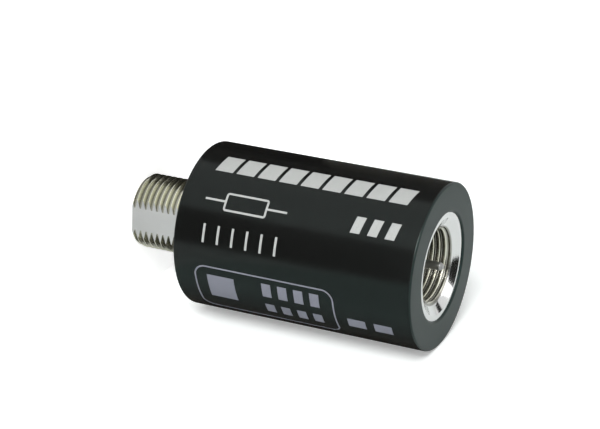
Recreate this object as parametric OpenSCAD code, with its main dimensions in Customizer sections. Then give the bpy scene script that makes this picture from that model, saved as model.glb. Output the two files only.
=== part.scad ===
// Inline coaxial attenuator: a threaded jack at one end, a recessed threaded plug at the other
// Stands on the jack's end face, with the axis along +Z and the plug mouth at the top
// Millimetres

/* [Body sleeve] */
// Outside diameter of the black sleeve
body_dia = 20.5; // [19:0.1:26]
// Length of the sleeve from end to end
body_length = 31; // [28:0.5:45]
// Break on the sleeve's two outer edges
body_edge = 0.3; // [0.1:0.05:0.6]
// Radial wall of the sleeve
sleeve_wall = 1; // [0.6:0.1:1.4]
// Diameter of the bore in the sleeve's thick end, which holds the plug shell
mouth_dia = 13.3; // [12.4:0.1:14]
// Break on the edge of that bore
mouth_edge = 0.2; // [0.05:0.05:0.4]

/* [Jack] */
// Outside diameter of the jack's thread
thread_dia = 9.4; // [9:0.05:9.6]
// How far the jack stands out of the sleeve
jack_length = 9.2; // [7:0.1:14]
// Lead chamfer at the jack's free end
jack_lead = 0.4; // [0.1:0.05:0.6]
// Distance from the axis to the flat milled along the thread
flat_height = 4; // [3.9:0.05:4.3]
// Width of the run-out groove beside the end plate
runout_width = 0.8; // [0.3:0.1:1.5]
// Depth of the run-out groove
runout_depth = 0.45; // [0.2:0.05:0.6]
// Diameter of the jack's bore
jack_bore_dia = 5.6; // [5:0.1:6]
// Diameter of the jack's spigot in the end plate
spigot_dia = 8.4; // [7.8:0.1:8.4]
// Thickness of the end plate that closes the sleeve
plate_thick = 2.8; // [2:0.1:4]
// How far the end plate sits inside the end of the sleeve
plate_inset = 0.2; // [0:0.05:0.6]

/* [Jack nose and spring contact] */
// Set-back of the nose insulator from the jack's end face
nose_recess = 0.3; // [0.1:0.05:1]
// Length of the nose insulator
nose_length = 2.7; // [2:0.1:4]
// Diameter of the guide hole for the mating wire
guide_dia = 1.5; // [1.2:0.05:1.9]
// Diameter of the funnel at the mouth of the guide hole
funnel_dia = 3; // [2.2:0.1:3.6]
// Depth of that funnel
funnel_depth = 0.7; // [0.3:0.1:1]
// Outside diameter of the spring contact
contact_dia = 2.4; // [2:0.1:2.8]
// Diameter of the contact's bore
contact_bore_dia = 1; // [0.7:0.05:1.2]
// How much narrower the leaves are at their tips
contact_taper = 0.3; // [0:0.05:0.5]
// Length of the narrowing towards the tips
taper_length = 2.5; // [1:0.1:2.7]
// Length of the saw cuts that part the leaves
leaf_length = 4.5; // [3:0.1:5]
// Width of the saw cuts
leaf_cut = 0.3; // [0.15:0.05:0.5]
// Number of saw cuts across the contact
leaf_cuts = 2; // [1:1:3]
// Diameter of the collar that stops the contact
collar_dia = 3.4; // [3:0.1:4]
// Thickness of that collar
collar_thick = 1; // [0.5:0.1:1.5]
// Depth of the lead-in at the contact's mouth
contact_mouth = 0.25; // [0.1:0.05:0.3]
// How far the contact's bore runs past the saw cuts
bore_past_cuts = 0.8; // [0.3:0.1:1]
// Room between the nose insulator and the leaves
leaf_room = 0.15; // [0.1:0.05:0.25]
// Length of the rear insulator
rear_length = 4; // [2.5:0.1:4.5]

/* [Plug] */
// Set-back of the plug's rim from the sleeve's end face
plug_recess = 0.45; // [0.2:0.05:1]
// Outer diameter of the polished countersink
sink_dia = 12.7; // [11.5:0.1:12.8]
// Inner diameter of the polished countersink
sink_inner_dia = 10.2; // [9.6:0.1:11]
// Depth of the polished countersink
sink_depth = 0.55; // [0.3:0.05:1]
// Depth of the lead-in below the countersink
lead_depth = 0.35; // [0.2:0.05:0.8]
// Crest diameter of the plug's inside thread
plug_bore_dia = 8.84; // [8.6:0.02:9]
// Depth of the socket from rim to floor
socket_depth = 8.5; // [7.5:0.1:11]
// Height of the relief at the socket's floor
relief_height = 1; // [0.4:0.1:1.6]
// Diameter of that relief
relief_dia = 9.7; // [9.4:0.1:10.4]
// Thickness of the base that makes the socket's floor
base_thick = 2.25; // [1.8:0.05:3]
// Diameter of the bead that holds the pin
bead_dia = 5.2; // [4:0.1:5.6]
// How far the bead stands up from the socket's floor
bead_rise = 0.6; // [0:0.1:1.5]
// Diameter of the collar that stops the pin in the bead
pin_collar_dia = 1.8; // [1.4:0.1:2.4]
// Depth of the seat in the bead for that collar
pin_seat_depth = 1.6; // [1:0.1:2]
// Diameter of the centre pin
pin_dia = 1; // [0.7:0.05:1.1]
// How far the pin's tip stays below the sleeve's end face
pin_inset = 0; // [0:0.1:2]
// Length of the point on the pin
pin_point = 0.35; // [0.1:0.05:0.6]
// Diameter of the flat at the pin's tip
pin_tip_dia = 0.55; // [0.2:0.05:0.65]

/* [Shield and circuit] */
// Wall of the shield tube
shield_wall = 0.6; // [0.3:0.1:1]
// Room between the shield tube and the sleeve
shield_room = 0.05; // [0.02:0.01:0.1]
// Width of the circuit board
board_width = 14.4; // [11:0.1:15]
// Thickness of the circuit board
board_thick = 1; // [0.8:0.1:1.6]
// Room on each side of the board in its slots
slot_room = 0.05; // [0.02:0.01:0.15]
// Depth of the board's slots in the end plate and in the plug's base
slot_depth = 1; // [0.5:0.1:1.2]
// Wall between the jack's spigot and the board's slots
slot_wall = 0.5; // [0.3:0.1:1]
// Room between the notch and the insulator that reaches into it
notch_room = 0.2; // [0.1:0.05:0.5]
// Length of each wire tail that lies on the board
tail_on_board = 3; // [2:0.1:4]
// Length of a chip resistor
chip_length = 3.2; // [2:0.1:3.2]
// Width of a chip resistor
chip_width = 1.6; // [1.2:0.1:1.6]
// Height of a chip resistor
chip_height = 0.6; // [0.4:0.05:0.7]
// Length of the metal cap on each end of a chip resistor
chip_cap = 0.5; // [0.3:0.05:0.6]
// How far the caps stand out from the chip's body
chip_cap_rise = 0.04; // [0.02:0.01:0.08]
// Distance from the axis to the near end of a shunt resistor
chip_offset = 1.1; // [0.8:0.1:2]

/* [Hidden] */
$fn = 96;

// Radii that several pieces share
body_r = body_dia / 2;
cavity_r = body_r - sleeve_wall;
mouth_r = mouth_dia / 2;
thread_r = thread_dia / 2;
jack_bore_r = jack_bore_dia / 2;
spigot_r = spigot_dia / 2;
shield_r = cavity_r - shield_room;
bead_r = bead_dia / 2;
pin_r = pin_dia / 2;
pin_collar_r = pin_collar_dia / 2;
contact_r = contact_dia / 2;
collar_r = collar_dia / 2;

// Heights along the axis, from the jack's end face up
sleeve_z = jack_length;
top_z = sleeve_z + body_length;
plate_z = sleeve_z + plate_inset;
plate_top_z = plate_z + plate_thick;
rear_z = plate_top_z - rear_length;
nose_top_z = nose_recess + nose_length;
rim_z = top_z - plug_recess;
floor_z = rim_z - socket_depth;
base_z = floor_z - base_thick;
pin_tip_z = top_z - pin_inset;
bead_top_z = floor_z + bead_rise;
collar_seat_z = bead_top_z - pin_seat_depth;

// The spring contact inside the jack
tip_z = nose_recess + nose_length / 2 + leaf_room;
tip_r = contact_r - contact_taper / 2;
contact_bore_end_z = tip_z + leaf_length + bore_past_cuts;
collar_top_z = rear_z + collar_thick;

// The board stands beside the axis, so that both wire tails lie on its face
board_face_y = pin_r;
board_bottom_z = plate_top_z - slot_depth;
board_top_z = base_z + slot_depth;
notch_width = spigot_dia + 2 * (slot_wall + slot_room);
notch_depth = slot_depth + notch_room;
jack_tail_z = board_bottom_z + notch_depth + tail_on_board;
plug_tail_z = board_top_z - notch_depth - tail_on_board;
board_mid_z = (jack_tail_z + plug_tail_z) / 2;

black = [0.13, 0.135, 0.135];
nickel = [0.76, 0.75, 0.7];
gold = [0.85, 0.68, 0.35];
ivory = [0.92, 0.9, 0.83];
green = [0.12, 0.36, 0.2];
chip_black = [0.1, 0.1, 0.11];

// A turned piece: the profile is a list of [radius, height] points
module turned(profile) {
    rotate_extrude() polygon(profile);
}

// The two slots that seat one end of the board, cut to slot_depth up from z0
module board_slots(z0) {
    inner = notch_width / 2 - slot_room;
    outer = board_width / 2 + slot_room;
    for (side = [-1, 1])
        translate([side > 0 ? inner : -outer, board_face_y - slot_room, z0])
            cube([outer - inner, board_thick + 2 * slot_room, slot_depth]);
}

// A chip resistor that lies along X on the board's face, with its middle at the origin
module chip() {
    union() {
        translate([-chip_length / 2, -chip_height + chip_cap_rise, -chip_width / 2 + chip_cap_rise])
            cube([chip_length, chip_height - chip_cap_rise, chip_width - 2 * chip_cap_rise]);
        for (side = [-1, 1])
            translate([side * (chip_length - chip_cap) / 2 - chip_cap / 2, -chip_height, -chip_width / 2])
                cube([chip_cap, chip_height, chip_width]);
    }
}

module outer_sleeve() {
    color(black) turned([
        [cavity_r, sleeve_z], [body_r - body_edge, sleeve_z], [body_r, sleeve_z + body_edge],
        [body_r, top_z - body_edge], [body_r - body_edge, top_z], [mouth_r + mouth_edge, top_z],
        [mouth_r, top_z - mouth_edge], [mouth_r, floor_z], [cavity_r, floor_z]]);
}

module end_plate() {
    color(nickel) difference() {
        turned([
            [spigot_r, plate_z], [cavity_r, plate_z], [cavity_r, plate_top_z], [spigot_r, plate_top_z]]);
        board_slots(board_bottom_z);
    }
}

module jack_shell() {
    run_r = thread_r - runout_depth;
    run_z = plate_z - runout_width;
    color(nickel) difference() {
        turned([
            [jack_bore_r, 0], [thread_r - jack_lead, 0], [thread_r, jack_lead],
            [thread_r, run_z - runout_depth], [run_r, run_z], [run_r, plate_z],
            [spigot_r, plate_z], [spigot_r, plate_top_z], [jack_bore_r, plate_top_z]]);
        translate([-thread_dia, -flat_height - thread_dia, -1])
            cube([2 * thread_dia, thread_dia, plate_z + 1]);
    }
}

module jack_nose_insulator() {
    guide_r = guide_dia / 2;
    seat_z = nose_recess + nose_length / 2;
    seat_r = contact_r + leaf_room;
    color(ivory) turned([
        [funnel_dia / 2, nose_recess], [jack_bore_r, nose_recess], [jack_bore_r, nose_top_z],
        [seat_r, nose_top_z], [seat_r, seat_z], [guide_r, seat_z], [guide_r, nose_recess + funnel_depth]]);
}

module jack_contact() {
    bore_r = contact_bore_dia / 2;
    color(gold) difference() {
        turned([
            [0, contact_bore_end_z], [bore_r, contact_bore_end_z], [bore_r, tip_z + contact_mouth],
            [bore_r + contact_mouth, tip_z], [tip_r, tip_z], [contact_r, tip_z + taper_length],
            [contact_r, rear_z], [collar_r, rear_z], [collar_r, collar_top_z], [pin_r, collar_top_z],
            [pin_r, jack_tail_z], [0, jack_tail_z]]);
        for (i = [0 : leaf_cuts - 1])
            rotate([0, 0, 45 + i * 180 / leaf_cuts])
                translate([-contact_dia, -leaf_cut / 2, tip_z - 1])
                    cube([2 * contact_dia, leaf_cut, leaf_length + 1]);
    }
}

module jack_rear_insulator() {
    color(ivory) turned([
        [collar_r, rear_z], [jack_bore_r, rear_z], [jack_bore_r, plate_top_z],
        [pin_r, plate_top_z], [pin_r, collar_top_z], [collar_r, collar_top_z]]);
}

module shield_tube() {
    color(nickel) turned([
        [shield_r - shield_wall, plate_top_z], [shield_r, plate_top_z],
        [shield_r, base_z], [shield_r - shield_wall, base_z]]);
}

module plug_base() {
    color(nickel) difference() {
        turned([[bead_r, base_z], [shield_r, base_z], [shield_r, floor_z], [bead_r, floor_z]]);
        board_slots(base_z);
    }
}

module plug_shell() {
    bore_r = plug_bore_dia / 2;
    relief_r = relief_dia / 2;
    sink_z = rim_z - sink_depth;
    relief_top_z = floor_z + relief_height;
    color(nickel) turned([
        [relief_r, floor_z], [mouth_r, floor_z], [mouth_r, rim_z], [sink_dia / 2, rim_z],
        [sink_inner_dia / 2, sink_z], [bore_r, sink_z - lead_depth], [bore_r, relief_top_z],
        [relief_r, relief_top_z - relief_r + bore_r]]);
}

module plug_insulator() {
    color(ivory) turned([
        [pin_r, base_z], [bead_r, base_z], [bead_r, bead_top_z], [pin_collar_r, bead_top_z],
        [pin_collar_r, collar_seat_z], [pin_r, collar_seat_z]]);
}

module plug_pin() {
    color(nickel) turned([
        [0, plug_tail_z], [pin_r, plug_tail_z], [pin_r, collar_seat_z],
        [pin_collar_r, collar_seat_z], [pin_collar_r, bead_top_z],
        [pin_r, bead_top_z], [pin_r, pin_tip_z - pin_point],
        [pin_tip_dia / 2, pin_tip_z], [0, pin_tip_z]]);
}

module circuit_board() {
    color(green) difference() {
        translate([-board_width / 2, board_face_y, board_bottom_z])
            cube([board_width, board_thick, board_top_z - board_bottom_z]);
        for (z0 = [board_bottom_z - 1, board_top_z - notch_depth])
            translate([-notch_width / 2, board_face_y - 1, z0])
                cube([notch_width, board_thick + 2, notch_depth + 1]);
    }
}

module series_resistor() {
    color(chip_black) translate([0, board_face_y, board_mid_z]) rotate([0, 90, 0]) chip();
}

module jack_shunt_resistor() {
    color(chip_black)
        translate([chip_offset + chip_length / 2, board_face_y, jack_tail_z - chip_width / 2]) chip();
}

module plug_shunt_resistor() {
    color(chip_black)
        translate([-chip_offset - chip_length / 2, board_face_y, plug_tail_z + chip_width / 2]) chip();
}

outer_sleeve();
end_plate();
jack_shell();
jack_nose_insulator();
jack_contact();
jack_rear_insulator();
shield_tube();
plug_base();
plug_shell();
plug_insulator();
plug_pin();
circuit_board();
series_resistor();
jack_shunt_resistor();
plug_shunt_resistor();
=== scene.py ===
"""Looks of an inline coaxial attenuator: sleeve, threads, insulators, pin and print around the packed solids."""

import math

import bmesh
import bpy
from bpy.props import FloatProperty, FloatVectorProperty, IntProperty, PointerProperty
from bpy.types import Operator, Panel, PropertyGroup
from mathutils import Euler, Matrix, Vector


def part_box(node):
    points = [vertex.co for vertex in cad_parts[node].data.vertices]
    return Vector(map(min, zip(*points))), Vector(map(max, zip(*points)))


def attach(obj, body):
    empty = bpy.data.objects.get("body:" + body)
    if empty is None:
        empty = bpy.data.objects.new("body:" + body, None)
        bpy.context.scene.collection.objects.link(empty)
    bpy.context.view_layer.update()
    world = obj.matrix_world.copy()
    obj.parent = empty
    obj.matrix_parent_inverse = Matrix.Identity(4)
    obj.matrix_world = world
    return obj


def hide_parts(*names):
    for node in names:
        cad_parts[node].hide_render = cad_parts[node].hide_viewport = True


bl_info = {
    "name": "Coaxial attenuator",
    "version": (1, 0, 0),
    "blender": (4, 5, 0),
    "location": "View3D > Sidebar > Attenuator",
    "description": "Builds the visible pieces of an inline coaxial attenuator around its packed solids",
    "category": "Add Mesh",
}

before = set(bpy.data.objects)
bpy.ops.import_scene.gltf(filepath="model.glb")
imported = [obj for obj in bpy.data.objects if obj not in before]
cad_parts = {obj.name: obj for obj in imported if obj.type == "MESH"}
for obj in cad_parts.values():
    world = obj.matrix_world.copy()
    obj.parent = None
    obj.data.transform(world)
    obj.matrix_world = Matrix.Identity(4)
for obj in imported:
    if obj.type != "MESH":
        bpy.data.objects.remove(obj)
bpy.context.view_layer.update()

MM = 0.001
WELD = 1e-8

# Steps of a rounded edge, and where beside it a further point keeps the flat flat, as a part of the edge's reach
ARC_STEPS = 6
ARC_GUARD = 1.4

# Angles above which an edge stays sharp, on most pieces and on the plug with its soft thread
SHARP_ANGLE = math.radians(32)
ROUND_ANGLE = math.radians(50)

# Root and crest that give a plain turned piece no thread
NO_THREAD = (0.0, 1 * MM)

# Corners of the dark cards on the floor. A corner is seen by way of the turned side: degrees up from the printed
# front, radius there, and how far the mirrored line of sight runs on along the floor, both in millimetres
FLOOR_CARDS = {
    "front_card": [(3.5, 10.25, 12), (3.5, 10.25, 160), (28, 10.25, 160), (28, 10.25, 12)],
    "back_card": [(73, 4.7, 0), (73, 4.7, 9), (65, 10.25, 21), (65, 10.25, 160), (80, 10.25, 160), (95, 10.25, 160),
                  (110, 10.25, 160), (125, 4.7, 160), (125, 4.7, 0)]}

# Corners of the other dark cards, in millimetres from the axis and the floor, turned with the backdrop
HIGH_CARDS = {
    "near_bar": [(6.8, 2, 60), (6.8, 8, 60), (5.5, 11, 60), (-1, 11, 60), (-1, 7.5, 60), (1.5, 6.5, 60),
                 (1.5, 2, 60)],
    "far_bar": [(4.0, 26.0, 60), (4.0, 36.0, 60), (-6.0, 36.0, 60), (-6.0, 26.0, 60)],
    "jack_card": [(6.0, 18.0, 0), (-22.0, 18.0, 0), (-22.0, 18.0, 17), (6.0, 18.0, 17)]}

# The floor cards' height above the floor in millimetres, and the high cards' tone as a part of the floor cards' tone
CARD_LIFT = 0.2
HIGH_TONE = 0.2

# Two shades on the backdrop, beside the line where the sleeve touches it, in millimetres: where each begins to thin out
# and where it ends, both in front of that line, how far it stands off the backdrop, and its lower edge
SIDE_SHADE = (100.0, 160.0, 0.03, 4.0)
CONTACT_SHADE = (5.0, 16.0, 0.05, 0.0)

# Half the size of floor and backdrop in metres, the height of the backdrop's bright foot in millimetres, and the extra
# white far out, with the two distances in millimetres between which it comes in
STAGE_REACH = 1.0
FOOT_HEIGHT = 14.0
FAR_GLOW = 0.4
FAR_RANGE = (150.0, 600.0)

# Place of each lamp, the point that it lights, and its size, in metres
LAMP_SIZE = 0.30
LAMPS = {
    "key_lamp": ((-0.479, -0.5, 0.125), (0.0, 0.0, 0.02)),
    "top_lamp": ((0.02, 0.04, 0.34), (0.0, 0.0, 0.04))}

# Steps of one turn of thread, and where its crest, flanks and root begin, as parts of the pitch
THREAD_STEPS = 16
CREST_END = 2 / 16
ROOT_START = 7 / 16
ROOT_END = 11 / 16


def length(name, description, millimetres):
    return FloatProperty(name=name, description=description, default=millimetres * MM,
                         min=0.0, precision=5, unit="LENGTH", subtype="DISTANCE")


def angle(name, description, degrees):
    return FloatProperty(name=name, description=description, default=math.radians(degrees),
                         unit="ROTATION", subtype="ANGLE")


def colour(name, description, value):
    return FloatVectorProperty(name=name, description=description, default=value, size=3,
                               min=0.0, max=1.0, subtype="COLOR")


def amount(name, description, value):
    return FloatProperty(name=name, description=description, default=value, min=0.0)


# ---------------------------------------------------------------- settings

class SleeveSettings(PropertyGroup):
    """The black sleeve and the print on it."""

    columns: IntProperty(name="Columns", description="Facets around the sleeve", default=256, min=32)
    edge_round: length("Edge round", "Radius on the two outer edges", 0.24)
    mouth_round: length("Mouth round", "Radius on the edge of the plug mouth", 0.26)
    inner_round: length("Inner round", "Radius on the edge of the open end", 0.1)
    black: colour("Black", "Colour of the sleeve", (0.0050, 0.0050, 0.0049))
    # Face: dull black end face whose colour holds a painted greenish reflection
    face: colour("Face", "Colour of the dull end face", (0.005, 0.012, 0.011))
    ink: colour("Ink", "Colour of the large print", (0.39, 0.40, 0.39))
    pale_ink: colour("Pale ink", "Colour of the print in the lower frame", (0.20, 0.205, 0.245))
    ink_thick: length("Ink thickness", "How far the print stands out from the sleeve", 0.012)


class ThreadSettings(PropertyGroup):
    """The two threads and the shells that carry them."""

    columns: IntProperty(name="Columns", description="Facets around a thread", default=160, min=32)
    pitch: length("Pitch", "Rise of the thread in one turn", 0.79375)
    start: amount("Start", "Part of a turn by which the jack's thread is turned", 0.81)
    jack_depth: length("Jack thread depth", "From the crest of the jack's thread to its root", 0.46)
    flat_height: length("Flat", "From the axis to the flat along the jack's thread", 4.0)
    lead: length("Lead", "Chamfer at the jack's free end", 0.4)
    bore_lead: length("Bore lead", "Chamfer at the mouth of the jack's bore", 0.15)
    runout_width: length("Run-out width", "Width of the groove beside the end plate", 0.8)
    runout_depth: length("Run-out depth", "Depth of that groove", 0.45)
    plug_crest: length("Plug crest radius", "Radius at the crest of the plug's thread", 4.42)
    plug_depth: length("Plug thread depth", "From the crest of the plug's thread to its root", 0.3)
    rim_lift: length("Rim lift", "Height of the rim above its seat in the mouth", 0.25)
    sink_radius: length("Countersink radius", "Outer radius of the countersink", 5.98)
    sink_inner: length("Countersink inner radius", "Inner radius of the countersink", 5.1)
    sink_depth: length("Countersink depth", "Depth of the countersink", 0.55)
    plug_lead: length("Plug lead", "Depth of the lead-in below the countersink", 0.35)
    relief_radius: length("Relief radius", "Radius of the relief at the socket's floor", 4.85)
    relief_height: length("Relief height", "Height of that relief", 1.0)
    nickel: colour("Nickel", "Colour of the plated metal", (0.67, 0.675, 0.67))
    worn: colour("Worn nickel", "Colour of the plate on the jack's thread", (0.94, 0.93, 0.75))
    # Inside nickel: a yellowed plate, set darker to paint the shade inside the plug's bore
    inside: colour("Inside nickel", "Colour of the plate on the plug's thread", (0.64, 0.63, 0.52))


class CoreSettings(PropertyGroup):
    """Insulators, centre pin and circuit."""

    columns: IntProperty(name="Columns", description="Facets around the small turned pieces", default=96, min=24)
    edge: length("Edge", "Radius on the edges of the small turned pieces", 0.08)
    guide_radius: length("Guide radius", "Radius of the guide hole in the nose", 0.75)
    funnel_radius: length("Funnel radius", "Radius of the funnel at that hole", 1.5)
    funnel_depth: length("Funnel depth", "Depth of that funnel", 0.7)
    seat_radius: length("Seat radius", "Radius of the room for the contact behind the nose", 1.35)
    pin_radius: length("Pin radius", "Radius of the centre pin", 0.5)
    pin_seat: length("Pin seat", "Length of the pin's collar", 1.6)
    pin_point: length("Pin point", "Length of the point on the pin", 0.35)
    pin_tip: length("Pin tip radius", "Radius of the flat at the pin's tip", 0.275)
    ivory: colour("Ivory", "Colour of the insulators", (0.80, 0.77, 0.67))
    bronze: colour("Bronze", "Colour of the spring contact", (0.72, 0.52, 0.27))
    lacquer: colour("Lacquer", "Colour of the board's lacquer", (0.02, 0.13, 0.05))
    laminate: colour("Laminate", "Colour of the board's bare edge", (0.52, 0.50, 0.30))


class StageSettings(PropertyGroup):
    """Floor, backdrop, reflector cards, lamps and camera."""

    azimuth: angle("Azimuth", "Turn of the camera around the object", -20.524)
    elevation: angle("Elevation", "Height of the camera above the floor", 23.231)
    roll: angle("Roll", "Turn of the camera about its own line of sight", 100.783)
    distance: length("Distance", "From the camera to the point that it looks at", 251.45)
    aim: FloatVectorProperty(name="Aim", description="Point that the camera looks at", size=3,
                             default=(-3.271 * MM, -0.301 * MM, 21.335 * MM), subtype="XYZ", unit="LENGTH")
    lens: FloatProperty(name="Lens", description="Focal length on a 36 mm sensor", default=123.81, min=1.0)
    rest_turn: angle("Rest turn", "Direction in which the sleeve leans on the backdrop", 5.25)
    floor_white: colour("Floor white", "Colour of the floor", (0.86, 0.86, 0.86))
    floor_glow: amount("Floor glow", "White that the floor adds to what the camera sees", 0.64)
    floor_mirrored: amount("Floor mirrored", "White that the floor adds to what metal shows of it", 0.15)
    back_white: colour("Backdrop white", "Colour of the backdrop", (0.84, 0.87, 0.862))
    back_glow: amount("Backdrop glow", "White that the backdrop adds to what the camera sees", 0.32)
    foot_glow: amount("Foot glow", "White that the backdrop adds where it meets the floor", 0.7)
    back_mirrored: amount("Backdrop mirrored", "White that the backdrop adds to what metal shows of it", 0.05)
    card: colour("Card", "Colour of the dark cards", (0.095, 0.09, 0.08))
    shade: colour("Shade", "Colour of the wide shade on the backdrop", (0.54, 0.69, 0.665))
    fill: amount("Fill", "Light from all around", 0.3)
    key_power: amount("Key power", "Power of the large soft lamp in watts", 4.6)
    top_power: amount("Top power", "Power of the lamp above the plug in watts", 0.5)


# ---------------------------------------------------------------- nodes

class Value:
    """An output of a node. Each operator adds one Math node to the same graph."""

    def __init__(self, graph, socket):
        self.graph, self.socket = graph, socket

    def maths(self, operation, *operands):
        return self.graph.node("ShaderNodeMath", {"operation": operation}, dict(enumerate(operands)))

    def __add__(self, other):
        return self.maths("ADD", self, other)

    def __sub__(self, other):
        return self.maths("SUBTRACT", self, other)

    def __rsub__(self, other):
        return self.maths("SUBTRACT", other, self)

    def __mul__(self, other):
        return self.maths("MULTIPLY", self, other)

    def __truediv__(self, other):
        return self.maths("DIVIDE", self, other)

    def __pow__(self, other):
        return self.maths("POWER", self, other)

    def __abs__(self):
        return self.maths("ABSOLUTE", self)

    __radd__ = __add__
    __rmul__ = __mul__


class Graph:
    """A shader or geometry tree under construction."""

    def __init__(self, tree):
        self.tree = tree
        tree.nodes.clear()

    def node(self, kind, settings=None, sockets=None, output=0):
        """Adds a node, sets it up, fills its sockets and returns one of its outputs."""
        made = self.tree.nodes.new(kind)
        for name, setting in (settings or {}).items():
            setattr(made, name, setting)
        for name, value in (sockets or {}).items():
            if isinstance(value, Value):
                self.tree.links.new(value.socket, made.inputs[name])
            else:
                made.inputs[name].default_value = value
        return Value(self, made.outputs[output]) if len(made.outputs) else None


class Finish(Graph):
    """A material. Places are in millimetres, in the row frame."""

    def __init__(self, name):
        self.material = bpy.data.materials.new(name)
        self.material.use_nodes = True
        super().__init__(self.material.node_tree)

    def places(self):
        """x, y, z and the distance from the axis, and sets the place that the noises read."""
        where = self.node("ShaderNodeTexCoord", output="Object")
        self.place = self.node("ShaderNodeVectorMath", {"operation": "SCALE"}, {0: where, "Scale": 1 / MM})
        x, y, z = (self.node("ShaderNodeSeparateXYZ", None, {0: self.place}, output=k) for k in range(3))
        return x, y, z, (x * x + y * y) ** 0.5

    def vector(self, x, y, z):
        return self.node("ShaderNodeCombineXYZ", None, {0: x, 1: y, 2: z})

    def noise(self, scale, detail=3.0, at=None):
        return self.node("ShaderNodeTexNoise", None,
                         {"Vector": at or self.place, "Scale": scale, "Detail": detail, "Roughness": 0.6})

    def ease(self, value, low, high):
        """0 up to low, 1 from high, smooth in between."""
        return self.node("ShaderNodeMapRange", {"interpolation_type": "SMOOTHSTEP"},
                         {"Value": value, "From Min": low, "From Max": high})

    def blend(self, factor, one, other):
        """A colour between two colours."""
        pair = [shade if isinstance(shade, Value) else (*shade, 1.0) for shade in (one, other)]
        return self.node("ShaderNodeMix", {"data_type": "RGBA"}, {0: factor, 6: pair[0], 7: pair[1]}, output=2)

    def bump(self, height, depth, strength=1.0):
        return self.node("ShaderNodeBump", None, {"Strength": strength, "Distance": depth * MM, "Height": height})

    def shade(self, **sockets):
        """Ends the material in one Principled shader."""
        named = {name.replace("_", " "): value for name, value in sockets.items()}
        shader = self.node("ShaderNodeBsdfPrincipled", None, named)
        self.node("ShaderNodeOutputMaterial", None, {"Surface": shader})
        return self.material


def times(shade, factor):
    return tuple(min(1.0, part * factor) for part in shade)


# ---------------------------------------------------------------- finishes

def sleeve_finish(settings, top):
    """Satin black: fine grain on the side, turning rings, a duller end face, and a painted greenish reflection in
    colour and tint.
    """
    finish = Finish("sleeve_black")
    _, _, z, r = finish.places()
    top, mouth = top / MM, (8.9, 9.2)
    grain = finish.noise(7.0)
    cloud = finish.noise(0.25, 2.0)
    rings = finish.noise(1.0, 4.0, finish.vector(r * 9.0, z * 9.0, 0.0))
    face = finish.ease(z, top - 0.25, top - 0.05)
    face = face.maths("MAXIMUM", face, 1 - finish.ease(r, *mouth))
    body = finish.blend(grain, times(settings.black, 0.85), times(settings.black, 1.2))
    # The end face's colour is dull black with a painted greenish reflection in it
    dull = finish.blend(rings, times(settings.face, 0.85), times(settings.face, 1.15))
    side_gloss = 0.16 + 0.05 * grain + 0.05 * cloud
    face_gloss = 0.36 + 0.08 * rings
    return finish.shade(
        Base_Color=finish.blend(face, body, dull),
        Roughness=side_gloss + (face_gloss - side_gloss) * face,
        Specular_IOR_Level=0.25,
        # Painted reflection: the green tint colours all that the sleeve reflects, standing in for a greenish
        # surrounding
        Specular_Tint=(0.84, 1.0, 0.95, 1.0),
        Normal=finish.bump(grain + 1.5 * rings * face, 0.004, 0.5))


def nickel_finish(name, nickel, worn, root, crest, flat=None, dark=0.85, dull=0.05):
    """Bright plate with turning lines: plain where smooth, worn on a thread with painted shade towards its root,
    brushed on a flat.
    """
    finish = Finish(name)
    x, y, z, r = finish.places()
    lines = finish.noise(1.0, 5.0, finish.vector(r * 14.0, z * 14.0, 0.0))
    patches = finish.noise(0.8, 3.0)
    middle, half = (root + crest) / (2 * MM), abs(crest - root) / (2 * MM)
    thread = finish.ease(abs(r - middle), half + 0.25, half + 0.1)
    # Painted shade in the thread's grooves: from crest to root the worn colour darkens down to the factor dark
    depth = finish.ease(r, root / MM, crest / MM)
    groove = finish.blend(depth, times(worn, dark), worn)
    tone = finish.blend(thread, nickel, groove)
    tone = finish.blend(0.35 * patches, tone, times(nickel, 0.85))
    gloss = dull + 0.05 * lines + 0.04 * patches + 0.12 * thread
    height = lines
    if flat is not None:
        milled = finish.ease(-1.0 * y, flat / MM - 0.02, flat / MM - 0.004)
        brush = finish.noise(1.0, 5.0, finish.vector(x * 22.0, 0.0, z * 1.2))
        tone = finish.blend(milled, tone, finish.blend(brush, times(nickel, 0.84), times(nickel, 1.0)))
        gloss = gloss + (0.34 + 0.15 * brush - gloss) * milled
        height = height + (brush - height) * milled
    return finish.shade(Base_Color=tone, Metallic=1.0, Roughness=gloss,
                        Normal=finish.bump(height, 0.006, 0.4))


def plastic_finish(name, tint, dull=0.42):
    """Turned plastic: faint rings, mottling and a soft sheen."""
    finish = Finish(name)
    _, _, z, r = finish.places()
    rings = finish.noise(1.0, 4.0, finish.vector(r * 10.0, z * 10.0, 0.0))
    mottle = finish.noise(1.5, 3.0)
    return finish.shade(
        Base_Color=finish.blend(mottle, times(tint, 0.9), times(tint, 1.06)),
        Roughness=dull + 0.12 * rings,
        Normal=finish.bump(rings, 0.006, 0.5))


def ink_finish(name, tint):
    """Screen-printed ink with small pores."""
    finish = Finish(name)
    finish.places()
    pores = finish.noise(11.0, 2.0)
    cover = finish.ease(pores, 0.30, 0.46)
    return finish.shade(
        Base_Color=finish.blend(cover, times(tint, 0.8), tint),
        Roughness=0.5 + 0.15 * pores,
        Specular_IOR_Level=0.25,
        Normal=finish.bump(pores, 0.004, 0.4))


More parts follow.
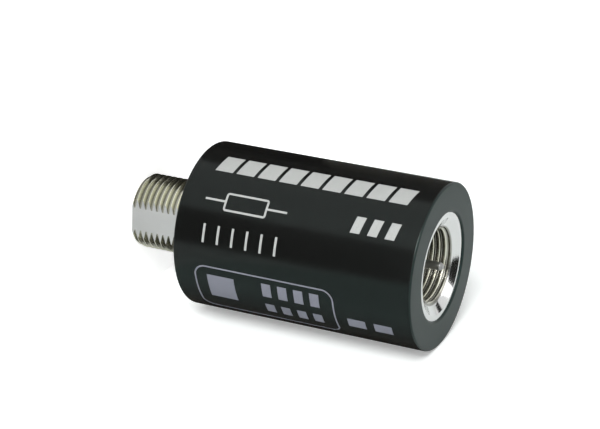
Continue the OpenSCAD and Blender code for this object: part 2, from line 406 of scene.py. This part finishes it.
def board_finish(settings):
    """Green lacquer over one raised track, bare laminate on the edges."""
    finish = Finish("board_lacquer")
    x, _, _, _ = finish.places()
    side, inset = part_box("circuit_board")[1].x / MM, 0.04
    weave = finish.noise(5.0, 2.0)
    inner = 1 - finish.ease(abs(x), side - inset, side - inset / 2)
    run = 1 - finish.ease(abs(x), 0.85, 0.95)
    lacquer = finish.blend(weave, times(settings.lacquer, 0.85), times(settings.lacquer, 1.15))
    track = finish.blend(weave, times(settings.lacquer, 1.8), times(settings.lacquer, 2.2))
    face = finish.blend(run, lacquer, track)
    return finish.shade(
        Base_Color=finish.blend(inner, settings.laminate, face),
        Roughness=0.3 + 0.15 * weave,
        Normal=finish.bump(run + 0.2 * weave, 0.03, 0.6))


def chip_finish(name, node):
    """A ceramic chip: dark glass on top, tinned caps at both ends."""
    finish = Finish(name)
    x, _, z, _ = finish.places()
    low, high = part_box(node)
    middle, reach = (low + high) / (2 * MM), (high - low) / (2 * MM)
    along, centre, half = (z, middle.z, reach.z) if reach.z > reach.x else (x, middle.x, reach.x)
    cap = finish.ease(abs(along - centre), half - 0.52, half - 0.48)
    speck = finish.noise(9.0, 2.0)
    glass = finish.blend(speck, (0.012, 0.012, 0.014), (0.03, 0.03, 0.034))
    tin = finish.blend(speck, (0.55, 0.55, 0.53), (0.7, 0.7, 0.68))
    return finish.shade(Base_Color=finish.blend(cap, glass, tin), Metallic=cap,
                        Roughness=0.3 + 0.2 * speck, Normal=finish.bump(speck, 0.008, 0.5))


# ---------------------------------------------------------------- meshes

def rounded(corners):
    """A closed profile: each corner (radius, height, rounding) becomes a short arc between two close points."""
    profile = []
    for index, (r, z, rounding) in enumerate(corners):
        here = Vector((r, z))
        if rounding == 0.0:
            profile.append((r, z))
            continue
        arms = [(Vector(corners[(index + step) % len(corners)][:2]) - here).normalized() for step in (-1, 1)]
        half = arms[0].angle(arms[1]) / 2
        reach = rounding / math.tan(half)
        centre = here + (arms[0] + arms[1]).normalized() * rounding / math.sin(half)
        start, end = (here + arm * reach - centre for arm in arms)
        sweep = math.pi - 2 * half
        points = [here + arms[0] * reach * ARC_GUARD]
        for step in range(ARC_STEPS + 1):
            part = step / ARC_STEPS
            arm = start * math.sin((1 - part) * sweep) + end * math.sin(part * sweep)
            points.append(centre + arm / math.sin(sweep))
        points.append(here + arms[1] * reach * ARC_GUARD)
        profile += [tuple(point) for point in points]
    return profile


def ring(radius, height, columns):
    """One turn of points at a radius and height, with its first point repeated at the end."""
    return [on_turn(radius, column / columns, height) for column in range(columns + 1)]


def on_turn(radius, turn, height):
    around = 2 * math.pi * turn
    return radius * math.cos(around), radius * math.sin(around), height


def thread_rings(radius_at, low, high, pitch, columns, start=0.0):
    """Rings that climb with the helix, cut off at low and high. radius_at takes a part of the pitch and a height."""
    rings = []
    for row in range((math.ceil((high - low) / pitch) + 1) * THREAD_STEPS + 1):
        points = []
        for column in range(columns + 1):
            turn = column / columns
            height = low + pitch * (row / THREAD_STEPS - 1 + turn)
            height = min(max(height, low), high)
            part = ((height - low) / pitch - turn + start) % 1.0
            points.append(on_turn(radius_at(part, height), turn, height))
        rings.append(points)
    return rings


def thread_height(part):
    """1 on the crest of the thread, 0 at its root."""
    if part < CREST_END:
        return 1.0
    if part < ROOT_START:
        return (ROOT_START - part) / (ROOT_START - CREST_END)
    if part < ROOT_END:
        return 0.0
    return (part - ROOT_END) / (1.0 - ROOT_END)


def soft_height(part):
    """The same on a thread with rounded corners."""
    rise = thread_height(part)
    return rise * rise * (3 - 2 * rise)


def skin(rings):
    """A closed skin over rings that follow each other around a profile."""
    bm = bmesh.new()
    rows = [[bm.verts.new(point) for point in points] for points in rings]
    for row, following in zip(rows, rows[1:] + rows[:1]):
        for column in range(len(row) - 1):
            bm.faces.new((row[column], row[column + 1], following[column + 1], following[column]))
    bmesh.ops.remove_doubles(bm, verts=bm.verts, dist=WELD)
    bmesh.ops.dissolve_degenerate(bm, edges=bm.edges, dist=WELD)
    bmesh.ops.recalc_face_normals(bm, faces=bm.faces)
    return bm


def turned(corners, columns):
    return skin([ring(r, z, columns) for r, z in rounded(corners)])


def to_mesh(bm, name, sharp=SHARP_ANGLE):
    """A smooth mesh whose edges stay sharp above an angle."""
    mesh = bpy.data.meshes.new(name)
    bm.to_mesh(mesh)
    bm.free()
    mesh.shade_smooth()
    mesh.set_sharp_from_angle(angle=sharp)
    return mesh


def add_piece(mesh, material, slot, *nodes):
    """Puts a finished mesh in the scene; it stands for the given nodes."""
    mesh.materials.clear()
    mesh.materials.append(material)
    piece = bpy.data.objects.new(mesh.name, mesh)
    bpy.context.scene.collection.objects.link(piece)
    if nodes:
        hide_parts(*nodes)
    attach(piece, "root")


def dress(node, material):
    """Gives a kept node its material."""
    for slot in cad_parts[node].material_slots:
        slot.material = material


# ---------------------------------------------------------------- print

def print_tree(name, inputs):
    """A geometry tree with named inputs, and the input node's values by name."""
    tree = bpy.data.node_groups.new(name, "GeometryNodeTree")
    tree.interface.new_socket("Geometry", in_out="OUTPUT", socket_type="NodeSocketGeometry")
    for label, kind in inputs.items():
        tree.interface.new_socket(label, in_out="INPUT", socket_type=kind)
    graph = Graph(tree)
    source = tree.nodes.new("NodeGroupInput")
    return graph, {label: Value(graph, source.outputs[label]) for label in inputs}


def wrap_and_end(graph, flat, given):
    """Bends flat print, x along the axis and y upwards, around the sleeve, and ends the tree."""
    where = graph.node("GeometryNodeInputPosition")
    x, y, z = (graph.node("ShaderNodeSeparateXYZ", None, {0: where}, output=k) for k in range(3))
    around = given["Angle"] + y / given["Radius"]
    out = given["Radius"] + z
    bent = graph.node("ShaderNodeCombineXYZ", None, {
        0: -1.0 * out * around.maths("SINE", around),
        1: -1.0 * out * around.maths("COSINE", around),
        2: given["Height"] + x + given["Slant"] * y})
    moved = graph.node("GeometryNodeSetPosition", None, {"Geometry": flat, "Position": bent})
    whole = graph.node("GeometryNodeRealizeInstances", None, {0: moved})
    inked = graph.node("GeometryNodeSetMaterial", None, {"Geometry": whole, "Material": given["Ink"]})
    graph.node("NodeGroupOutput", None, {"Geometry": inked})
    return graph.tree


PLACE_INPUTS = {
    "Angle": "NodeSocketFloat", "Height": "NodeSocketFloat", "Radius": "NodeSocketFloat",
    "Slant": "NodeSocketFloat", "Thickness": "NodeSocketFloat", "Ink": "NodeSocketMaterial"}


def bar_row_tree():
    """A row of like bars around the sleeve."""
    graph, given = print_tree("bar_row", {
        "Count": "NodeSocketInt", "Step": "NodeSocketFloat", "Bar length": "NodeSocketFloat",
        "Bar height": "NodeSocketFloat", **PLACE_INPUTS})
    size = graph.node("ShaderNodeCombineXYZ", None, {
        0: given["Bar length"], 1: given["Bar height"], 2: given["Thickness"]})
    bar = graph.node("GeometryNodeMeshCube", None, {
        "Size": size, "Vertices X": 2, "Vertices Y": 9, "Vertices Z": 2})
    offset = graph.node("ShaderNodeCombineXYZ", None, {0: given["Step"]})
    line = graph.node("GeometryNodeMeshLine", {"mode": "OFFSET"}, {"Count": given["Count"], "Offset": offset})
    row = graph.node("GeometryNodeInstanceOnPoints", None, {"Points": line, "Instance": bar})
    flat = graph.node("GeometryNodeRealizeInstances", None, {0: row})
    return wrap_and_end(graph, flat, given)


def frame_line_tree():
    """A thin outline with round corners around the sleeve."""
    graph, given = print_tree("frame_line", {
        "Length": "NodeSocketFloat", "Rise": "NodeSocketFloat", "Corner": "NodeSocketFloat",
        "Line": "NodeSocketFloat", **PLACE_INPUTS})
    path = graph.node("GeometryNodeCurvePrimitiveQuadrilateral", {"mode": "RECTANGLE"},
                      {"Width": given["Length"], "Height": given["Rise"]})
    path = graph.node("GeometryNodeFilletCurve", {"mode": "POLY"},
                      {"Curve": path, "Count": 8, "Radius": given["Corner"], "Limit Radius": True})
    path = graph.node("GeometryNodeResampleCurve", {"mode": "COUNT"}, {"Curve": path, "Count": 240})
    stroke = graph.node("GeometryNodeCurvePrimitiveQuadrilateral", {"mode": "RECTANGLE"},
                        {"Width": given["Line"], "Height": given["Thickness"]})
    flat = graph.node("GeometryNodeCurveToMesh", None, {"Curve": path, "Profile Curve": stroke})
    return wrap_and_end(graph, flat, given)


def grow(tree, **values):
    """The plain mesh that a geometry tree makes from values given by input name, with _ for a space."""
    carrier = bpy.data.objects.new("carrier", bpy.data.meshes.new("carrier"))
    bpy.context.scene.collection.objects.link(carrier)
    modifier = carrier.modifiers.new("Print", "NODES")
    modifier.node_group = tree
    sockets = {item.name: item.identifier for item in tree.interface.items_tree if item.in_out == "INPUT"}
    for name, value in values.items():
        modifier[sockets[name.replace("_", " ")]] = value
    bpy.context.view_layer.update()
    grown = carrier.evaluated_get(bpy.context.evaluated_depsgraph_get())
    mesh = bpy.data.meshes.new_from_object(grown)
    carrier.modifiers.remove(modifier)
    bpy.data.objects.remove(carrier)
    return mesh


# ---------------------------------------------------------------- operators

class ATTENUATOR_OT_sleeve(Operator):
    """Turn the black sleeve with its soft edges"""

    bl_idname = "attenuator.sleeve"
    bl_label = "Black sleeve"

    def execute(self, context):
        settings = context.scene.attenuator_sleeve
        low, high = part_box("outer_sleeve")
        mouth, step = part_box("plug_shell")[1].x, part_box("plug_shell")[0].z
        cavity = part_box("end_plate")[1].x
        bm = turned([
            (cavity, low.z, settings.inner_round), (high.x, low.z, settings.edge_round),
            (high.x, high.z, settings.edge_round), (mouth, high.z, settings.mouth_round),
            (mouth, step, 0.0), (cavity, step, 0.0)], settings.columns)
        add_piece(to_mesh(bm, "black_sleeve"), sleeve_finish(settings, high.z), "black_sleeve", "outer_sleeve")
        return {"FINISHED"}


class ATTENUATOR_OT_jack(Operator):
    """Cut the jack's thread and mill the flat along it"""

    bl_idname = "attenuator.jack"
    bl_label = "Jack barrel"

    def execute(self, context):
        settings = context.scene.attenuator_threads
        low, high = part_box("jack_shell")
        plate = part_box("end_plate")[0].z
        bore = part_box("jack_nose_insulator")[1].x
        crest, spigot = high.x, -low.y
        groove = crest - settings.runout_depth
        groove_low = plate - settings.runout_width

        def radius_at(part, height):
            thread = crest - settings.jack_depth * (1 - thread_height(part))
            lead = crest - settings.lead + height - low.z
            runout = max(groove, groove + groove_low - height)
            return min(thread, lead, runout)

        columns = settings.columns
        rings = [ring(bore, high.z, columns), ring(bore, low.z + settings.bore_lead, columns),
                 ring(bore + settings.bore_lead, low.z, columns)]
        rings += thread_rings(radius_at, low.z, plate, settings.pitch, columns, settings.start)
        rings += [ring(spigot, plate, columns), ring(spigot, high.z, columns)]
        bm = skin(rings)
        cut = bmesh.ops.bisect_plane(bm, geom=bm.verts[:] + bm.edges[:] + bm.faces[:], dist=WELD, clear_outer=True,
                                     plane_co=(0.0, -settings.flat_height, 0.0), plane_no=(0.0, -1.0, 0.0))
        rim = [item for item in cut["geom_cut"] if isinstance(item, bmesh.types.BMEdge)]
        bmesh.ops.triangle_fill(bm, edges=rim, use_beauty=True, use_dissolve=False, normal=(0.0, -1.0, 0.0))
        bmesh.ops.recalc_face_normals(bm, faces=bm.faces)
        # The jack's thread is painted darker towards its root, as shade, down to 0.36 of its worn colour
        finish = nickel_finish("jack_nickel", settings.nickel, settings.worn, crest - settings.jack_depth, crest,
                               settings.flat_height, dark=0.36)
        add_piece(to_mesh(bm, "jack_barrel"), finish, "nickel_plate", "jack_shell")
        return {"FINISHED"}


class ATTENUATOR_OT_plug(Operator):
    """Cut the plug's countersink and inside thread"""

    bl_idname = "attenuator.plug"
    bl_label = "Plug shell"

    def execute(self, context):
        settings = context.scene.attenuator_threads
        low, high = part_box("plug_shell")
        rim = high.z + settings.rim_lift
        crest, relief = settings.plug_crest, settings.relief_radius
        sink = rim - settings.sink_depth
        lead_slope = (settings.sink_inner - crest) / settings.plug_lead
        relief_top = low.z + settings.relief_height

        def radius_at(part, height):
            thread = crest + settings.plug_depth * (1 - soft_height(part))
            lead = settings.sink_inner - (sink - height) * lead_slope
            undercut = min(relief, crest + relief_top - height)
            return max(thread, lead, undercut)

        columns = settings.columns
        rim_round, sink_round = 0.06 * MM, 0.05 * MM
        outside = rounded([
            (relief, low.z, 0.0), (high.x, low.z, 0.0), (high.x, rim, rim_round),
            (settings.sink_radius, rim, sink_round), (settings.sink_inner, sink, 0.0)])
        rings = [ring(r, z, columns) for r, z in outside]
        rings += reversed(thread_rings(radius_at, low.z, sink, settings.pitch, columns))
        # The plug's thread takes the inside colour, darkened as painted shade within the bore, and painted darker still
        # towards its root, down to 0.3 of it
        finish = nickel_finish("plug_nickel", settings.nickel, settings.inside, crest + settings.plug_depth, crest,
                               dark=0.3)
        add_piece(to_mesh(skin(rings), "plug_insert", ROUND_ANGLE), finish, "nickel_plate", "plug_shell")
        return {"FINISHED"}


class ATTENUATOR_OT_insulators(Operator):
    """Turn the jack's nose and the plug's bead"""

    bl_idname = "attenuator.insulators"
    bl_label = "Insulators"

    def execute(self, context):
        settings = context.scene.attenuator_core
        ivory = plastic_finish("insulator_ivory", settings.ivory)
        low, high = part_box("jack_nose_insulator")
        middle = (low.z + high.z) / 2
        edge, guide = settings.edge, settings.guide_radius
        nose = turned([
            (settings.funnel_radius, low.z, edge), (high.x, low.z, edge), (high.x, high.z, edge),
            (settings.seat_radius, high.z, edge), (settings.seat_radius, middle, 0.0), (guide, middle, edge),
            (guide, low.z + settings.funnel_depth, edge)], settings.columns)
        add_piece(to_mesh(nose, "jack_nose"), ivory, "insulator", "jack_nose_insulator")
        low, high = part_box("plug_insulator")
        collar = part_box("plug_pin")[1].x
        seat = high.z - settings.pin_seat
        bead = turned([
            (settings.pin_radius, low.z, 0.0), (high.x, low.z, edge), (high.x, high.z, edge * 2),
            (collar, high.z, edge / 2), (collar, seat, 0.0), (settings.pin_radius, seat, 0.0)], settings.columns)
        add_piece(to_mesh(bead, "plug_bead"), ivory, "insulator", "plug_insulator")
        dress("jack_rear_insulator", ivory)
        return {"FINISHED"}


class ATTENUATOR_OT_pin(Operator):
    """Turn the centre pin and its blunt point"""

    bl_idname = "attenuator.pin"
    bl_label = "Centre pin"

    def execute(self, context):
        settings = context.scene.attenuator_core
        low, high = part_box("plug_pin")
        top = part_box("plug_insulator")[1].z
        seat, shaft, edge = top - settings.pin_seat, settings.pin_radius, settings.edge
        bm = turned([
            (0.0, low.z, 0.0), (shaft, low.z, edge), (shaft, seat, 0.0), (high.x, seat, 0.0), (high.x, top, edge),
            (shaft, top, 0.0), (shaft, high.z - settings.pin_point, edge * 2), (settings.pin_tip, high.z, edge),
            (0.0, high.z, 0.0)], settings.columns)
        nickel = context.scene.attenuator_threads.nickel
        # Painted shade: the pin's nickel is set to 0.45 of the plate's tone to look dark down in the socket, and
        # nickel_finish darkens it a little more towards the axis, at its point
        grey = times(nickel, 0.45)
        finish = nickel_finish("pin_nickel", grey, grey, 0.0, shaft, dull=0.12)
        add_piece(to_mesh(bm, "centre_pin"), finish, "pin_nickel", "plug_pin")
        return {"FINISHED"}


class ATTENUATOR_OT_core(Operator):
    """Finish the pieces inside: plates, shield, contact, board and resistors"""

    bl_idname = "attenuator.core"
    bl_label = "Inner pieces"

    def execute(self, context):
        settings = context.scene.attenuator_core
        nickel = context.scene.attenuator_threads.nickel
        plate = nickel_finish("plate_nickel", nickel, nickel, *NO_THREAD)
        for node in ("end_plate", "plug_base", "shield_tube"):
            dress(node, plate)
        dress("jack_contact", nickel_finish("contact_bronze", settings.bronze, settings.bronze, *NO_THREAD))
        dress("circuit_board", board_finish(settings))
        for node in ("series_resistor", "jack_shunt_resistor", "plug_shunt_resistor"):
            dress(node, chip_finish(node + "_finish", node))
        return {"FINISHED"}


class ATTENUATOR_OT_print(Operator):
    """Print plain bars and a thin frame on the front of the sleeve"""

    bl_idname = "attenuator.print"
    bl_label = "Print"

    def execute(self, context):
        settings = context.scene.attenuator_sleeve
        shared = {"Radius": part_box("outer_sleeve")[1].x + settings.ink_thick / 2, "Thickness": settings.ink_thick}
        bars, lines = bar_row_tree(), frame_line_tree()

        def bar_row(count, step, size, around, height, slant=0.0):
            return grow(bars, Count=count, Step=step * MM, Bar_length=size[0] * MM, Bar_height=size[1] * MM,
                        Angle=math.radians(around), Height=height * MM, Slant=slant, **shared)

        def frame_line(size, corner, line, around, height, slant=0.0):
            return grow(lines, Length=size[0] * MM, Rise=size[1] * MM, Corner=corner * MM, Line=line * MM,
                        Angle=math.radians(around), Height=height * MM, Slant=slant, **shared)

        shared["Ink"] = ink_finish("print_ink", settings.ink)
        self.join("upper_print", [
            bar_row(9, 2.84, (2.35, 2.7), 66.2, 13.6, 0.18),
            bar_row(2, 8.2, (2.6, 0.26), 36.5, 13.8),
            frame_line((5.4, 2.1), 0.25, 0.26, 36.5, 17.9),
            bar_row(6, 1.9, (0.3, 2.3), 13.0, 13.2),
            bar_row(3, 2.2, (1.2, 2.1), 37.6, 32.4, 0.18)], shared["Ink"])
        shared["Ink"] = ink_finish("pale_print_ink", settings.pale_ink)
        self.join("lower_print", [
            frame_line((18.2, 7.4), 1.4, 0.2, -31.0, 21.2),
            bar_row(4, 2.1, (1.2, 2.0), -20.5, 21.6),
            bar_row(4, 2.1, (1.2, 1.6), -38.0, 21.6),
            bar_row(1, 1.0, (3.6, 3.6), -26.5, 15.5),
            bar_row(2, 3.4, (2.3, 1.5), -35.0, 33.0)], shared["Ink"])
        return {"FINISHED"}

    def join(self, name, fields, ink):
        """One piece of print from its fields."""
        bm = bmesh.new()
        for field in fields:
            bm.from_mesh(field)
            bpy.data.meshes.remove(field)
        bmesh.ops.recalc_face_normals(bm, faces=bm.faces)
        add_piece(to_mesh(bm, name), ink, "black_sleeve")


class ATTENUATOR_OT_stage(Operator):
    """Set up the white floor and backdrop, the cards, the lamps and the camera"""

    bl_idname = "attenuator.stage"
    bl_label = "Stage"

    def execute(self, context):
        settings = context.scene.attenuator_stage
        self.white_world(context.scene, settings)
        self.floor(context.scene, settings)
        self.cards(context.scene, settings)
        self.lamps(context.scene, settings)
        self.camera(context.scene, settings)
        context.scene.view_settings.view_transform = "Standard"
        return {"FINISHED"}

    def seen(self, graph):
        """1 for a ray from the camera, and 1 for a ray from a mirror or through glass."""
        camera, glossy, clear = (graph.node("ShaderNodeLightPath", output=name)
                                 for name in ("Is Camera Ray", "Is Glossy Ray", "Is Transmission Ray"))
        return camera, glossy.maths("MAXIMUM", glossy, clear)

    def white_world(self, scene, settings):
        scene.world = bpy.data.worlds.new("studio")
        scene.world.use_nodes = True
        graph = Graph(scene.world.node_tree)
        camera, mirror = self.seen(graph)
        strength = settings.fill + (1.0 - settings.fill) * camera.maths("MAXIMUM", camera, mirror)
        light = graph.node("ShaderNodeBackground", None, {"Color": (1.0, 1.0, 1.0, 1.0), "Strength": strength})
        graph.node("ShaderNodeOutputWorld", None, {"Surface": light})

    def set_up(self, scene, name, corners, material, turn=0.0):
        """A flat stage piece with its front towards the side from which the corners run anticlockwise."""
        mesh = bpy.data.meshes.new(name)
        mesh.from_pydata(corners, [], [range(len(corners))])
        mesh.materials.append(material)
        piece = bpy.data.objects.new(name, mesh)
        piece.rotation_euler.z = turn
        scene.collection.objects.link(piece)
        return piece

    def paper(self, name, white, glow, foot_glow, mirrored):
        """White paper that can be seen from its front only. It glows by foot_glow at the floor, then by glow."""
        finish = Finish(name)
        _, _, z, r = finish.places()
        camera, mirror = self.seen(finish)
        matte = finish.node("ShaderNodeBsdfDiffuse", None, {"Color": (*white, 1.0)})
        near = 1 - finish.ease(z, 0.0, FOOT_HEIGHT)
        away = finish.ease(r, *FAR_RANGE)
        strength = (glow + (foot_glow - glow) * near + FAR_GLOW * away) * camera + mirrored * mirror
        light = finish.node("ShaderNodeEmission", None, {"Strength": strength})
        both = finish.node("ShaderNodeAddShader", None, {0: matte, 1: light})
        behind = finish.node("ShaderNodeNewGeometry", output="Backfacing")
        clear = finish.node("ShaderNodeBsdfTransparent")
        front = finish.node("ShaderNodeMixShader", None, {0: behind, 1: both, 2: clear})
        finish.node("ShaderNodeOutputMaterial", None, {"Surface": front})
        return finish.material

    def floor(self, scene, settings):
        """The floor, and a backdrop that touches the sleeve."""
        paper = self.paper("floor_paper", settings.floor_white, settings.floor_glow, settings.floor_glow,
                           settings.floor_mirrored)
        far = STAGE_REACH
        self.set_up(scene, "floor", [(-far, -far, 0), (far, -far, 0), (far, far, 0), (-far, far, 0)], paper)
        paper = self.paper("backdrop_paper", settings.back_white, settings.back_glow, settings.foot_glow,
                           settings.back_mirrored)
        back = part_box("outer_sleeve")[1].x
        wall = [(back, far, 0), (back, -far, 0), (back, -far, far), (back, far, far)]
        self.set_up(scene, "backdrop", wall, paper, settings.rest_turn)

    def card_finish(self, name, tint, shade=None):
        """Dark card, or dark card that thins out between two distances towards -Y."""
        finish = Finish(name)
        _, y, _, _ = finish.places()
        matte = finish.node("ShaderNodeBsdfDiffuse", None, {"Color": (*tint, 1.0)})
        clear = finish.node("ShaderNodeBsdfTransparent")
        thin = finish.ease(-1.0 * y, *shade) if shade else 0.0
        card = finish.node("ShaderNodeMixShader", None, {0: thin, 1: matte, 2: clear})
        finish.node("ShaderNodeOutputMaterial", None, {"Surface": card})
        return finish.material

    def cards(self, scene, settings):
        """Cards and shades that only reflections show: they draw the bands on sleeve, jack and countersink."""
        dark = self.card_finish("card_grey", settings.card)
        black = self.card_finish("card_black", times(settings.card, HIGH_TONE))
        made = []
        for name, corners in FLOOR_CARDS.items():
            points = [self.mirrored(math.radians(up), radius * MM, reach * MM, settings)
                      for up, radius, reach in corners]
            made.append(self.set_up(scene, name, points, dark))
        for name, corners in HIGH_CARDS.items():
            points = [Vector(corner) * MM for corner in corners]
            made.append(self.set_up(scene, name, points, black, settings.rest_turn))
        side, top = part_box("outer_sleeve")[1].xz
        for name, tint, (near, front, off, foot) in (
                ("side_shade", settings.shade, SIDE_SHADE), ("contact_shade", settings.card, CONTACT_SHADE)):
            back, reach, low = side - off * MM, front * MM, foot * MM
            points = [(back, 0, low), (back, -reach, low), (back, -reach, top), (back, 0, top)]
            shade = self.card_finish(name + "_finish", tint, (near, front))
            made.append(self.set_up(scene, name, points, shade, settings.rest_turn))
        for card in made:
            card.visible_camera = card.visible_diffuse = card.visible_shadow = False

    def mirrored(self, up, radius, reach, settings):
        """The place on the floor that the camera sees by way of a turned side."""
        seen = 2 * up + settings.azimuth
        return Vector((-math.sin(up) * radius - math.sin(seen) * reach,
                       -math.cos(up) * radius - math.cos(seen) * reach, CARD_LIFT * MM))

    def lamps(self, scene, settings):
        power = {"key_lamp": settings.key_power, "top_lamp": settings.top_power}
        for name, (place, target) in LAMPS.items():
            light = bpy.data.lights.new(name, "AREA")
            light.energy, light.size = power[name], LAMP_SIZE
            lamp = bpy.data.objects.new(name, light)
            scene.collection.objects.link(lamp)
            lamp.location = place
            lamp.rotation_euler = (Vector(place) - Vector(target)).to_track_quat("Z", "Y").to_euler()

    def camera(self, scene, settings):
        lens = bpy.data.cameras.new("camera")
        lens.lens, lens.sensor_width = settings.lens, 36.0
        lens.clip_start = 0.005
        camera = bpy.data.objects.new("camera", lens)
        scene.collection.objects.link(camera)
        turn = Euler((math.pi / 2 - settings.elevation, 0.0, settings.azimuth)).to_matrix()
        turn = turn @ Matrix.Rotation(settings.roll, 3, "Z")
        place = Vector(settings.aim) + turn @ Vector((0, 0, settings.distance))
        camera.matrix_world = Matrix.Translation(place) @ turn.to_4x4()
        scene.camera = camera


# ---------------------------------------------------------------- panel and run

OPERATORS = (
    ATTENUATOR_OT_sleeve, ATTENUATOR_OT_jack, ATTENUATOR_OT_plug, ATTENUATOR_OT_insulators,
    ATTENUATOR_OT_pin, ATTENUATOR_OT_core, ATTENUATOR_OT_print, ATTENUATOR_OT_stage)
SETTINGS = {
    "attenuator_sleeve": SleeveSettings, "attenuator_threads": ThreadSettings,
    "attenuator_core": CoreSettings, "attenuator_stage": StageSettings}


class ATTENUATOR_PT_panel(Panel):
    """Sizes, colours and the steps that build the attenuator"""

    bl_idname = "ATTENUATOR_PT_panel"
    bl_label = "Coaxial attenuator"
    bl_space_type = "VIEW_3D"
    bl_region_type = "UI"
    bl_category = "Attenuator"

    def draw(self, context):
        for name, group in SETTINGS.items():
            box = self.layout.box()
            box.label(text=group.__doc__)
            for setting in group.__annotations__:
                box.prop(getattr(context.scene, name), setting)
        for operator in OPERATORS:
            self.layout.operator(operator.bl_idname)


def register():
    for cls in (*SETTINGS.values(), *OPERATORS, ATTENUATOR_PT_panel):
        bpy.utils.register_class(cls)
    for name, group in SETTINGS.items():
        setattr(bpy.types.Scene, name, PointerProperty(type=group))


def unregister():
    for name in SETTINGS:
        delattr(bpy.types.Scene, name)
    for cls in (ATTENUATOR_PT_panel, *reversed(OPERATORS), *reversed(SETTINGS.values())):
        bpy.utils.unregister_class(cls)


def main():
    register()
    bpy.ops.attenuator.sleeve()
    bpy.ops.attenuator.jack()
    bpy.ops.attenuator.plug()
    bpy.ops.attenuator.insulators()
    bpy.ops.attenuator.pin()
    bpy.ops.attenuator.core()
    bpy.ops.attenuator.print()
    bpy.ops.attenuator.stage()


if __name__ == "__main__":
    main()
